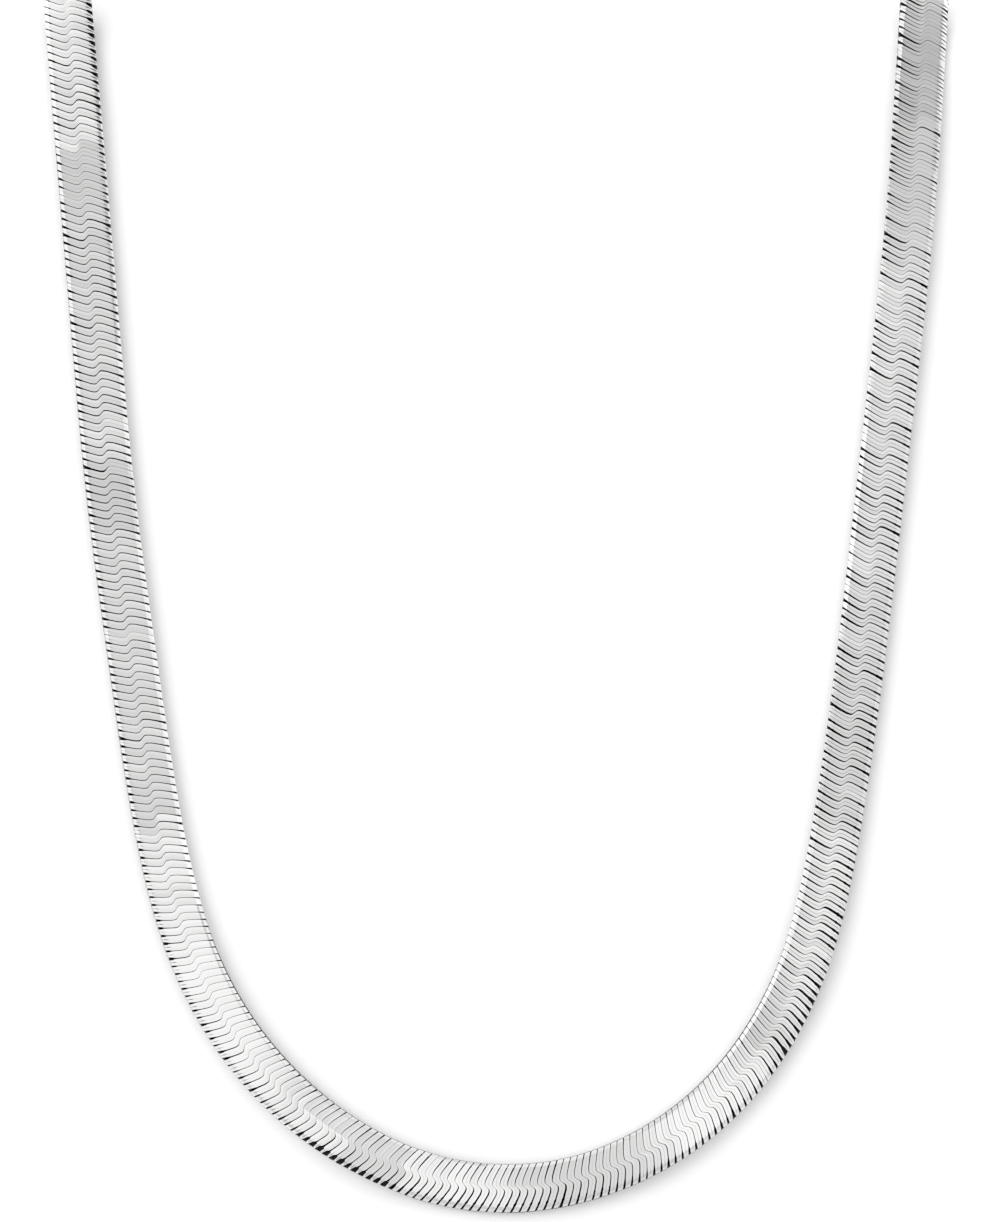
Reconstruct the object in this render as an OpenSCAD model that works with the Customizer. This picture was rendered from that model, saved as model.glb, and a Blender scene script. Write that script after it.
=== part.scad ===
// Flat herringbone chain necklace, in the form it takes when it is worn: a U that hangs down
// the front, and a hidden stretch that goes round the back of the neck to the clasp.
// Millimetres. +Z is up and the front faces -Y. The origin is at the back of the neck,
// in the middle of the clasp's inner face.

/* [Band] */
// Width of the flat chain across its face
band_w = 5.5; // [4:0.1:8]
// Thickness of the flat chain
band_t = 1.1; // [0.9:0.05:1.6]
// Width of the sloped edge along each side of a face
bevel_w = 0.55; // [0.2:0.05:0.9]
// Depth of that sloped edge
bevel_d = 0.3; // [0.1:0.02:0.4]

/* [End caps] */
// Length of band that an end cap grips
cap_grip = 3.6; // [2.5:0.1:5]
// Sheet thickness of an end cap
cap_wall = 0.3; // [0.25:0.05:0.5]
// Clearance between an end cap and the band
cap_fit = 0.1; // [0.06:0.02:0.2]
// Thickness of the tag that carries an end cap's eye
tag_t = 0.7; // [0.5:0.05:1]
// Width of metal left round an end cap's eye
eye_rim = 0.8; // [0.5:0.05:1.1]

/* [Jump rings] */
// Wire diameter of both jump rings
ring_wire = 0.8; // [0.6:0.05:1]
// Clearance between a jump ring and what it passes through
ring_gap = 0.18; // [0.12:0.02:0.26]
// Free length inside the small jump ring
ring_play = 0.8; // [0.5:0.1:1.5]
// Free length inside the catch ring
catch_play = 1.4; // [0.9:0.1:2.5]
// How much larger an end cap's eye is than the ring wire, on its radius
eye_play = 0.45; // [0.4:0.05:0.7]

/* [Clasp] */
// Length of the clasp from the end of its eye to the end of its hook
clasp_l = 11; // [10:0.5:14]
// Width of the clasp across its hook
clasp_w = 5.2; // [4.8:0.1:6.5]
// Thickness of the clasp's body
clasp_t = 1.8; // [1.5:0.1:2.4]
// Bar diameter of the hook
hook_bar = 1.2; // [0.9:0.1:1.4]
// Wire diameter of the clasp's small eye
clasp_eye_wire = 0.9; // [0.7:0.05:1.1]
// Lean of the clasp's face from upright
clasp_lean = 20; // [0:1:30]

/* [Hidden] */
$fn = 48;

// The route of the chain's middle line, one closed loop from the back of the neck down the
// left arm, along the U and up the right arm. Each row is [x, y, z, yaw, lean]: a control
// point in millimetres, and where the outer face looks there, as degrees turned from the
// front towards +X and degrees leaned up.
ROUTE = [
    [0, 2.5, 0.5, 180, 20],
    [-18, -2, -0.5, -154, 22],
    [-32.5, -12.5, -5.5, -128, 26],
    [-43.5, -27, -12.5, -98, 34],
    [-47.5, -40.5, -22, -62, 38],
    [-49.5, -53, -34.5, -22, 28],
    [-48, -59, -49.5, 0, 8],
    [-46.5, -60, -66.5, 0, 2],
    [-45, -60.5, -84, 0, 1],
    [-43.5, -61, -101, 0, 1],
    [-41, -62, -118, 0, 1],
    [-38.5, -63, -136, 0, 3],
    [-34.5, -64.5, -153, 0, 7],
    [-25, -66.5, -167, 0, 14],
    [-9.5, -67.5, -177, 0, 22],
    [8, -67.5, -178, 0, 22],
    [24.5, -66.5, -169.5, 0, 14],
    [34.5, -65, -154.5, 0, 7],
    [38, -63, -137.5, 0, 3],
    [40.5, -62, -120, 0, 1],
    [42.5, -61, -103, 0, 1],
    [44.5, -60.5, -85.5, 0, 1],
    [46.5, -60, -68, 0, 2],
    [47.5, -59, -51, 0, 8],
    [49, -53, -34.5, 22, 28],
    [47.5, -40.5, -22, 62, 38],
    [43.5, -27, -12.5, 98, 34],
    [32.5, -12.5, -5.5, 128, 26],
    [18, -2, -0.5, 154, 22],
];
RINGS = 80;
SEARCH_STEPS = 30;

places = [for (row = ROUTE) [row[0], row[1], row[2]]];
looks = [for (row = ROUTE) facing(row[3], row[4])];
loop_end = len(ROUTE);

// Unit vector that looks yaw degrees from the front towards +X, and lean degrees up
function facing(yaw, lean) = [cos(lean) * sin(yaw), -cos(lean) * cos(yaw), sin(lean)];
function unit(v) = v / norm(v);
function row_at(list, i) = list[(i + len(list)) % len(list)];

// Uniform cubic B-spline through a closed list: its value and its slope at t, where a whole
// number lies beside the row of that number
function spline(list, t) =
    let (i = floor(t), f = t - i)
    (pow(1 - f, 3) * row_at(list, i - 1)
        + (3 * pow(f, 3) - 6 * f * f + 4) * row_at(list, i)
        + (-3 * pow(f, 3) + 3 * f * f + 3 * f + 1) * row_at(list, i + 1)
        + pow(f, 3) * row_at(list, i + 2)) / 6;
function spline_slope(list, t) =
    let (i = floor(t), f = t - i)
    (-(1 - f) * (1 - f) * row_at(list, i - 1)
        + (3 * f * f - 4 * f) * row_at(list, i)
        + (-3 * f * f + 2 * f + 1) * row_at(list, i + 1)
        + f * f * row_at(list, i + 2)) / 2;

// Place of the middle line, its direction, the way its outer face looks, and the way
// across the band towards its outer edge
function middle(t) = spline(places, t);
function along(t) = unit(spline_slope(places, t));
function face(t) =
    let (look = spline(looks, t), way = along(t))
    unit(look - (look * way) * way);
function across(t) = cross(along(t), face(t));

// The clasp sits on the back of the neck with its inner face through the origin
clasp_out = facing(180, clasp_lean);
clasp_centre = clasp_out * clasp_t / 2;

// Jump rings: the inner radius holds both eyes' metal, their clearances and the free length
ring_in = (eye_rim + clasp_eye_wire + ring_play) / 2 + ring_gap;
catch_in = (eye_rim + hook_bar + catch_play) / 2 + ring_gap;

// An end cap's eye, and where it stands from the end of the band
eye_r = ring_wire / 2 + eye_play;
tag_r = eye_r + eye_rim;
cap_end = cap_fit + cap_wall;
eye_out = cap_end + eye_rim + eye_r;
cap_w = band_w + 2 * cap_end;
cap_t = band_t + 2 * cap_end;

// Distances from a ring's centre: to the round bar it holds, and to a flat tag's eye
function bar_reach(inner, bar) = inner - ring_gap - bar / 2;
function tag_reach(inner) = sqrt(pow(inner - ring_gap, 2) - pow(tag_t / 2, 2)) + eye_r;

// The clasp's two bars that the rings hold
clasp_eye_bar = clasp_centre + [-(clasp_l - clasp_eye_wire) / 2, 0, 0];
hook_end_bar = clasp_centre + [(clasp_l - hook_bar) / 2, 0, 0];
ring_span = bar_reach(ring_in, clasp_eye_wire) + tag_reach(ring_in);
catch_span = bar_reach(catch_in, hook_bar) + tag_reach(catch_in);

// An end cap for a band that ends at t, where way is -1 at the left end and 1 at the right:
// the stretch of t that it grips, the way it points, the way it faces and its eye
function grip_stretch(t) = cap_grip / norm(spline_slope(places, t));
function cap_way(t, way) = unit(middle(t) - middle(t - way * grip_stretch(t)));
function cap_face(t, way) = face(t - way * grip_stretch(t) / 2);
function cap_eye(t, way) = middle(t) + cap_way(t, way) * eye_out;

// Where the band ends, so that its cap's eye is one ring's span from the clasp's bar
function band_end(bar, span, way, near, far, steps) =
    let (t = (near + far) / 2)
    steps == 0 ? t
    : norm(cap_eye(t, way) - bar) < span ? band_end(bar, span, way, t, far, steps - 1)
    : band_end(bar, span, way, near, t, steps - 1);
start_t = band_end(clasp_eye_bar, ring_span, -1, 0.2, 2, SEARCH_STEPS);
end_t = band_end(hook_end_bar, catch_span, 1, loop_end - 0.2, loop_end - 2, SEARCH_STEPS);

// The band's section, from its outer edge round over the outer face
function band_section() =
    let (w = band_w / 2, t = band_t / 2)
    [
        [w, -t + bevel_d],
        [w, t - bevel_d],
        [w - bevel_w, t],
        [-w + bevel_w, t],
        [-w, t - bevel_d],
        [-w, -t + bevel_d],
        [-w + bevel_w, -t],
        [w - bevel_w, -t],
    ];

// Puts its children at a place, with x along one direction and y as close as can be to look
module set_along(place, direction, look) {
    x = unit(direction);
    y = unit(look - (look * x) * x);
    z = cross(x, y);
    multmatrix([
        [x[0], y[0], z[0], place[0]],
        [x[1], y[1], z[1], place[1]],
        [x[2], y[2], z[2], place[2]],
        [0, 0, 0, 1],
    ])
        children();
}

// A torus round the z axis
module ring_of(middle_r, wire) {
    rotate_extrude()
        translate([middle_r, 0])
            circle(d = wire);
}

// A rectangle with round corners, centred
module rounded_rectangle(w, h, r) {
    square([w - 2 * r, h], center = true);
    square([w, h - 2 * r], center = true);
    for (x = [-1, 1], y = [-1, 1])
        translate([x * (w / 2 - r), y * (h / 2 - r)])
            circle(r = r);
}

// The woven band of some 530 interlocked links, as one solid
module herringbone_band() {
    section = band_section();
    sides = len(section);
    first_grip = start_t + grip_stretch(start_t);
    last_grip = end_t - grip_stretch(end_t);
    free = RINGS - 3;
    stations = [
        start_t,
        for (k = [0 : free]) first_grip + (last_grip - first_grip) * k / free,
        end_t,
    ];
    points = [
        for (t = stations)
            let (place = middle(t), wide = across(t), out = face(t))
            for (corner = section) place + corner[0] * wide + corner[1] * out
    ];
    walls = [
        for (k = [0 : RINGS - 2], c = [0 : sides - 1])
            let (a = k * sides + c, b = k * sides + (c + 1) % sides)
            each [[a, b, b + sides], [a, b + sides, a + sides]]
    ];
    first = [for (c = [1 : sides - 2]) [0, c + 1, c]];
    base = (RINGS - 1) * sides;
    last = [for (c = [1 : sides - 2]) [base, base + c, base + c + 1]];
    color("silver")
        polyhedron(points = points, faces = concat(walls, first, last));
}

// A folded sheet cap over the band's end, with a tag and an eye for a jump ring.
// Local x runs from the band towards the clasp, from the end of the band.
module end_cap() {
    color("silver") {
        difference() {
            translate([cap_end, 0, 0])
                rotate([0, -90, 0])
                    linear_extrude(height = cap_grip + cap_end)
                        rounded_rectangle(cap_w, cap_t, cap_wall + cap_fit);
            translate([-cap_grip - 1, -band_t / 2 - cap_fit, -band_w / 2 - cap_fit])
                cube([cap_grip + 1 + cap_fit, band_t + 2 * cap_fit, band_w + 2 * cap_fit]);
        }
        rotate([90, 0, 0])
            linear_extrude(height = tag_t, center = true)
                tag_outline();
    }
}

module tag_outline() {
    shoulder = cap_w / 2 - cap_wall - cap_fit;
    difference() {
        union() {
            polygon([
                [cap_end - cap_wall / 2, -shoulder],
                [eye_out, -tag_r],
                [eye_out, tag_r],
                [cap_end - cap_wall / 2, shoulder],
            ]);
            translate([eye_out, 0])
                circle(r = tag_r);
        }
        translate([eye_out, 0])
            circle(r = eye_r);
    }
}

module end_cap_left() {
    set_along(middle(start_t), cap_way(start_t, -1), cap_face(start_t, -1))
        end_cap();
}

module end_cap_right() {
    set_along(middle(end_t), cap_way(end_t, 1), cap_face(end_t, 1))
        end_cap();
}

// A round ring that stands edge on, through an end cap's eye and round a bar of the clasp
module link_ring(bar, bar_wire, inner, t, way) {
    direction = unit(cap_eye(t, way) - bar);
    centre = bar + direction * bar_reach(inner, bar_wire);
    color("silver")
        set_along(centre, direction, clasp_out + cap_face(t, way))
            ring_of(inner + ring_wire / 2, ring_wire);
}

module jump_ring() {
    link_ring(clasp_eye_bar, clasp_eye_wire, ring_in, start_t, -1);
}

module catch_ring() {
    link_ring(hook_end_bar, hook_bar, catch_in, end_t, 1);
}

// The clasp as one plain piece: a long closed hook of round bar, a boss at its back, and a
// small eye. Local x runs from the eye to the hook, and y looks out.
module clasp() {
    hook_r = (clasp_w - hook_bar) / 2;
    hook_x = (clasp_l - clasp_w) / 2;
    eye_mid = (ring_wire + clasp_eye_wire) / 2 + 2 * ring_gap;
    eye_x = -(clasp_l - clasp_eye_wire) / 2 + eye_mid;
    boss_x = eye_x + eye_mid + hook_r;
    color("silver")
        set_along(clasp_centre, [1, 0, 0], clasp_out) {
            rotate([90, 0, 0]) {
                translate([eye_x, 0, 0])
                    ring_of(eye_mid, clasp_eye_wire);
                translate([boss_x, 0, 0])
                    cylinder(r = hook_r, h = clasp_t, center = true);
                half_hook(hook_x, hook_r, 0);
                half_hook(boss_x, hook_r, 180);
            }
            for (side = [-1, 1])
                translate([boss_x, 0, side * hook_r])
                    rotate([0, 90, 0])
                        cylinder(d = hook_bar, h = hook_x - boss_x);
        }
}

// Half a torus of the hook's bar round the z axis, open towards -x before it is turned
module half_hook(x, hook_r, turn) {
    translate([x, 0, 0])
        rotate([0, 0, turn - 90])
            rotate_extrude(angle = 180)
                translate([hook_r, 0])
                    circle(d = hook_bar);
}

herringbone_band();
end_cap_left();
end_cap_right();
jump_ring();
catch_ring();
clasp();
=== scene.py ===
"""A worn herringbone chain in polished silver, with its end caps, rings and clasp, on a pale board.

Lengths are in metres in the row frame: X to the wearer's left, Y to the back and Z up, with the origin
at the nape. The chain's middle line is the closed spline of the construction, repeated in ROUTE.
"""

import logging
import math
from dataclasses import dataclass, field
from enum import Enum

import bpy
import numpy as np
from mathutils import Matrix, Vector

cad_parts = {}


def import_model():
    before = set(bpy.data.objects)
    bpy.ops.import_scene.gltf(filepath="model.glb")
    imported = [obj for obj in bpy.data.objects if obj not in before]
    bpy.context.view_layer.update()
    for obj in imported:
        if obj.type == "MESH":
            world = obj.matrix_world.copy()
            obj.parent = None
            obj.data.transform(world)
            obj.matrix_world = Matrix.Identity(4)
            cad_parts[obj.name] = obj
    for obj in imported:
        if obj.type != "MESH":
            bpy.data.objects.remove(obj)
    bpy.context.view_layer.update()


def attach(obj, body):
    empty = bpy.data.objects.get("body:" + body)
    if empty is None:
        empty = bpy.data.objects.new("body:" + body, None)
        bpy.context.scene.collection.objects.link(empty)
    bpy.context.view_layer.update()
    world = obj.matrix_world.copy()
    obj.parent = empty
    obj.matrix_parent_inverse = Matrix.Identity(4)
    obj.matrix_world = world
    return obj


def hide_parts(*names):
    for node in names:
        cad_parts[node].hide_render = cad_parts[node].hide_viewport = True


log = logging.getLogger("herringbone_chain")

Array = np.ndarray
Material = bpy.types.Material
Object = bpy.types.Object
Socket = bpy.types.NodeSocket

MM = 0.001
SEED = 11

# The values that most of a noise lies between.
NOISE_RANGE = (0.3, 0.7)

# Places across the band in half widths: where the bevel starts, where its middle is, where the lobes'
# middles are and where the bend between the lobes is, and how wide the blend between them is.
BEVEL, BEVEL_MIDDLE = 0.82, 0.95
LOBE_MIDDLE, BEND_MIDDLE, LOBE_BLEND = 0.5, 0.03, 0.2

# The middle line's control points from the nape down the left arm, round the bottom and up the right
# arm: x, y and z in millimetres, then the face's yaw and lean in degrees.
ROUTE = [
    (0, 2.5, 0.5, 180, 20), (-18, -2, -0.5, -154, 22), (-32.5, -12.5, -5.5, -128, 26),
    (-43.5, -27, -12.5, -98, 34), (-47.5, -40.5, -22, -62, 38), (-49.5, -53, -34.5, -22, 28),
    (-48, -59, -49.5, 0, 8), (-46.5, -60, -66.5, 0, 2), (-45, -60.5, -84, 0, 1),
    (-43.5, -61, -101, 0, 1), (-41, -62, -118, 0, 1), (-38.5, -63, -136, 0, 3),
    (-34.5, -64.5, -153, 0, 7), (-25, -66.5, -167, 0, 14), (-9.5, -67.5, -177, 0, 22),
    (8, -67.5, -178, 0, 22), (24.5, -66.5, -169.5, 0, 14), (34.5, -65, -154.5, 0, 7),
    (38, -63, -137.5, 0, 3), (40.5, -62, -120, 0, 1), (42.5, -61, -103, 0, 1),
    (44.5, -60.5, -85.5, 0, 1), (46.5, -60, -68, 0, 2), (47.5, -59, -51, 0, 8),
    (49, -53, -34.5, 22, 28), (47.5, -40.5, -22, 62, 38), (43.5, -27, -12.5, 98, 34),
    (32.5, -12.5, -5.5, 128, 26), (18, -2, -0.5, 154, 22),
]

# One edge between two links, from the band's outer side to its inner side: how far across the half
# width it is (1 to -1), its height as a part of the half thickness, how much of the outer lobe's run,
# of the step back between the lobes and of the inner lobe's run it has by then, and half the groove's
# width there in links. The first and last rows are on the band's side walls.
BAR_ROWS = [
    (1, 0.04, -0.1, 0, 0, 0.14), (1, 0.42, 0, 0, 0, 0.17), (0.95, 0.76, 0.08, 0, 0, 0.13),
    (0.82, 1, 0.28, 0, 0, 0.105), (0.76, 1, 0.36, 0, 0, 0.085), (0.66, 1, 0.5, 0, 0, 0.055),
    (0.36, 1, 0.89, 0, 0, 0.05), (0.22, 1, 0.99, 0, 0, 0.05), (0.14, 1, 1, 0.06, 0, 0.05),
    (0.09, 1, 1, 0.24, 0, 0.048), (0.03, 1, 1, 0.53, 0, 0.046), (-0.03, 1, 1, 0.82, 0, 0.048),
    (-0.08, 1, 1, 0.97, 0, 0.05), (-0.15, 1, 1, 1, 0.02, 0.05), (-0.32, 1, 1, 1, 0.13, 0.052),
    (-0.66, 1, 1, 1, 0.53, 0.065), (-0.76, 1, 1, 1, 0.67, 0.08), (-0.82, 1, 1, 1, 0.75, 0.085),
    (-0.95, 0.76, 1, 1, 0.93, 0.12), (-1, 0.42, 1, 1, 1, 0.14), (-1, 0.04, 1, 1, 1.1, 0.13),
]

# How far the edges run along the band: the place in rows of ROUTE, then in links the outer lobe's run,
# the step back between the lobes and the inner lobe's run.
RUNS = [
    (0, 1, 0.55, 1), (6, 1.13, 0.6, 1.15), (7.3, 1.05, 0.6, 1.1), (9.2, 0.87, 0.6, 0.93),
    (12, 0.65, 0.58, 0.72), (13.3, 0.9, 0.6, 1), (14.3, 1.2, 0.68, 1.35), (15.6, 1.1, 0.62, 1.2),
    (17, 0.8, 0.55, 0.85), (19.5, 0.8, 0.68, 1.17), (22.5, 0.9, 0.6, 1.05), (29, 1, 0.55, 1),
]

# How dark the fine mark along the middle of each link is: the place in rows of ROUTE, then the outer
# edge, the outer lobe, the inner lobe and the inner edge.
MARKS = [
    (0, 0.3, 0.1, 0.1, 0.3), (5.4, 0.3, 0.16, 0.16, 1.9), (6, 0.3, 0.16, 0.16, 1.9),
    (6.3, 0.3, 0.16, 0.16, 1.2), (7.2, 0.3, 0.16, 0.16, 1), (7.6, 0.35, 0.16, 0.16, 0.3),
    (9, 0.4, 0.12, 0.12, 0.2), (11, 0.5, 0.03, 0.03, 0.1), (12, 0.9, 0.03, 0.03, 0.1),
    (13.3, 0.6, 0.1, 0.1, 0.1), (14.5, 0.2, 0.22, 0.22, 0.1), (15.5, 0.4, 0.14, 0.14, 0.1),
    (16.6, 0.6, 0.34, 0.34, 0.1), (17.6, 0.5, 0.4, 0.4, 0.3), (18.5, 0.4, 0.42, 0.42, 0.5),
    (21, 0.4, 0.38, 0.38, 0.5), (21.6, 0.5, 0.3, 0.4, 0.6), (22.4, 1, 0.2, 0.6, 0.6),
    (23.6, 1.9, 0.2, 0.75, 0.7), (29, 0.3, 0.1, 0.1, 0.3),
]

# How the links sit along the route: the place in rows of ROUTE, how many degrees the outer lobe and
# the inner lobe look up, and how many degrees more the inner bevel falls off.
SEATING = [
    (0, 0, 0, 0), (5.2, -9, -8, -4), (5.6, -17.5, -16, -8), (5.9, -11, -10.3, -8), (6.2, -5.5, -5, -8),
    (6.61, 0, 0, -6), (6.615, 0, -5, -6), (6.7, 1, -4.5, -6), (6.705, -5.5, -4.5, -6), (6.95, -3, -2, -6),
    (7.2, 0, 0, -4), (8, 1.5, 1.5, 0), (8.7, 2, 2, 0), (8.72, -1.5, -2, 0), (9.15, -1, -1.5, 0),
    (9.2, 1, 1, 0), (10.6, 1, 1, 0), (10.98, 0, 0, 0), (10.99, 0, 3, 0), (11.1, 0, 3, 0),
    (11.11, 2.5, 2.5, 0), (11.6, 2, 2, 0), (11.9, 2.6, 2.6, -2), (12.5, 2.2, 2.2, -5),
    (12.8, 1.5, 1.5, -6), (13.16, 1.5, 2, -6), (13.2, 1.5, 7.5, -8), (13.5, 0.6, 6, -5),
    (13.54, 5.6, 5.8, -5), (13.7, 5, 5, -5), (13.9, 3.5, 3.5, -3), (13.96, -2.6, -2.8, 0),
    (14.08, -3.1, -3.1, 7), (14.3, -5, -5, 9), (14.42, -4.9, -4.5, 8.5), (14.5, -4.8, -4.1, 0),
    (14.6, -4.7, -3.7, 0), (14.9, 0.5, 1.6, -2), (15.2, 4.5, 5.5, -6), (15.5, 4.5, 4.5, -4),
    (15.8, 3, 3, -2), (16.1, 0.7, 0.4, 0), (16.48, 1, 0, 0), (16.5, 1, -3, 0), (16.6, -1.4, -2.6, 0),
    (17, 1.2, 0.6, 0), (17.5, 1.8, 1.4, -3), (17.95, 2.1, 2.1, -8), (18.1, 0, 0, -8), (19, 1, 1, -8),
    (19.4, 1.5, 1.5, 0), (20.2, 3, 3, 0.5), (20.6, 3, 3, 0), (21.5, 2.8, 2.8, -8), (21.8, 0, 0, -8),
    (22.2, -4, -4, -6), (22.7, -5.2, -3.8, 0), (23, -8, -5.2, 0), (23.3, -13.2, -8.8, 0),
    (23.6, -17, -13, 0), (24.2, 0, 0, 0), (29, 0, 0, 0),
]

# How many degrees the band rolls towards +X: the place in rows of ROUTE, then the roll.
ROLL = [
    (21.8, 0), (22.2, 1), (22.7, 4.5), (23, 3.3), (23.3, 0.5), (23.6, -4), (24.2, 0),
]

# How open the grooves are along the route: the place in rows of ROUTE, factors for the outer edge, the
# outer lobe, the bend between the lobes, the inner lobe and the inner edge, and how uneven they are
# from link to link.
GROOVES = [
    (0, 1, 1, 1.2, 1, 1, 0.4), (5.5, 1, 1.8, 1.5, 1.7, 2.9, 0.35), (6, 1, 1.6, 1.4, 1.5, 2.9, 0.35),
    (6.3, 1, 1.4, 1.4, 1.4, 1.8, 0.4), (6.5, 1, 1.4, 1.4, 1.4, 1.6, 0.4),
    (6.62, 0.9, 0.5, 0.6, 0.4, 1.6, 0.4), (6.95, 1.3, 0.7, 0.7, 0.8, 1.5, 0.4),
    (7.3, 1.2, 1.3, 1.3, 1.2, 1.3, 0.4), (8.5, 1.2, 1.3, 1.3, 1.2, 1.2, 0.4),
    (9.3, 1.3, 1.2, 1.2, 1.1, 1, 0.35), (10.5, 1.3, 1, 1.1, 1, 0.9, 0.25),
    (11.3, 1.3, 0.8, 0.8, 0.7, 0.9, 0.3), (12, 1.2, 0.8, 0.5, 0.4, 0.8, 0.4),
    (13, 1, 1.1, 0.4, 0.6, 0.9, 0.4), (13.25, 1.1, 1.2, 0.35, 0.8, 0.8, 0.4),
    (13.35, 2.8, 1.2, 0.3, 0.8, 0.8, 0.4), (13.85, 2.8, 1.3, 0.3, 1, 0.9, 0.4),
    (14, 1.1, 1.9, 0.3, 1.4, 0.7, 0.3), (14.6, 1.1, 2.2, 0.35, 1.3, 0.7, 0.4),
    (15.2, 1.2, 1.6, 0.55, 0.8, 0.6, 0.4), (15.8, 1.35, 0.9, 0.7, 0.6, 0.6, 0.3),
    (16.3, 1.4, 1.6, 0.5, 0.8, 0.5, 0.3), (16.9, 2, 2.3, 0.4, 1.2, 0.4, 0.4),
    (17.4, 1.2, 2.2, 0.6, 1.6, 0.5, 0.45), (17.9, 1, 1.7, 0.8, 1.6, 1.2, 0.5),
    (18.3, 1, 1.5, 0.9, 1.6, 1.2, 0.65), (20, 1.1, 1.7, 1.1, 1.6, 1.2, 0.65),
    (21.8, 0.9, 1.2, 0.9, 1.4, 1.4, 0.7), (22.4, 0.8, 0.9, 0.7, 1.5, 1.7, 0.7),
    (23.5, 1, 0.9, 0.7, 1.7, 1.7, 0.7), (29, 1, 1, 1.2, 1, 1, 0.4),
]


class Piece(Enum):
    """The CAD nodes, by the names that the model gives them."""

    BAND = "herringbone_band"
    CAP_LEFT = "end_cap_left"
    CAP_RIGHT = "end_cap_right"
    JUMP_RING = "jump_ring"
    CATCH_RING = "catch_ring"
    CLASP = "clasp"


class Slot(Enum):
    """The record's material slots."""

    CHAIN = "chain_silver"
    FITTING = "fitting_silver"


class Side(Enum):
    """Which face of the band a row of links makes, as the sign of its height."""

    FRONT = 1
    BACK = -1


class Way(Enum):
    """The route's direction towards the clasp, at the band's start and at its end."""

    TO_EYE = -1
    TO_HOOK = 1


def unit(vectors: Array) -> Array:
    """Scale vectors, whose x, y and z are on the last axis, to length one."""
    return vectors / np.linalg.norm(vectors, axis=-1, keepdims=True)


def dot(first: Array, second: Array) -> Array:
    """Multiply vectors pair by pair, and keep the last axis at length one."""
    return np.sum(first * second, axis=-1, keepdims=True)


def facing(yaw: Array, lean: Array) -> Array:
    """Return (cos lean sin yaw, -cos lean cos yaw, sin lean) for turns and leans in degrees."""
    yaw, lean = np.radians(yaw), np.radians(lean)
    return np.stack([np.cos(lean) * np.sin(yaw), -np.cos(lean) * np.cos(yaw), np.sin(lean)], axis=-1)


def look_up(table: list, t: Array, column: int) -> Array:
    """Interpolate a column of a table whose first column is the place in rows of ROUTE."""
    values = np.array(table)
    return np.interp(t, values[:, 0], values[:, column])


def outer_share(x: Array) -> Array:
    """Return how far each place across belongs to the outer lobe, from 0 to 1."""
    return np.clip(0.5 + x / LOBE_BLEND, 0.0, 1.0)


def grid_faces(rows: int, columns: int, wrap_rows: bool = False, wrap_columns: bool = False) -> Array:
    """Number the quads of a grid of vertices that is stored row by row.

    Args:
        rows: how many rows of vertices there are.
        columns: how many vertices a row has.
        wrap_rows: whether the last row joins the first.
        wrap_columns: whether each row is a closed ring.

    Returns:
        An array of quads (i, j), (i, j+1), (i+1, j+1), (i+1, j).
    """
    i = np.arange(rows if wrap_rows else rows - 1)[:, None]
    j = np.arange(columns if wrap_columns else columns - 1)[None, :]
    row, row_after = i * columns, (i + 1) % rows * columns
    after = (j + 1) % columns
    return np.stack([row + j, row + after, row_after + after, row_after + j], -1).reshape(-1, 4)


def add_object(name: str, data: bpy.types.ID) -> Object:
    """Make an object and link it to the scene.

    Args:
        name: the object's name.
        data: its mesh, camera or light.

    Returns:
        The new object.
    """
    obj = bpy.data.objects.new(name, data)
    bpy.context.scene.collection.objects.link(obj)
    return obj


def add_smooth(name: str, mesh: bpy.types.Mesh, sharp_degrees: float) -> Object:
    """Make an object of a mesh that is smooth but for its sharp edges.

    Args:
        name: the object's name.
        mesh: its mesh.
        sharp_degrees: the bend above which an edge is sharp.

    Returns:
        The new object, linked to the scene.
    """
    mesh.shade_smooth()
    mesh.set_sharp_from_angle(angle=math.radians(sharp_degrees))
    return add_object(name, mesh)


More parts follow.
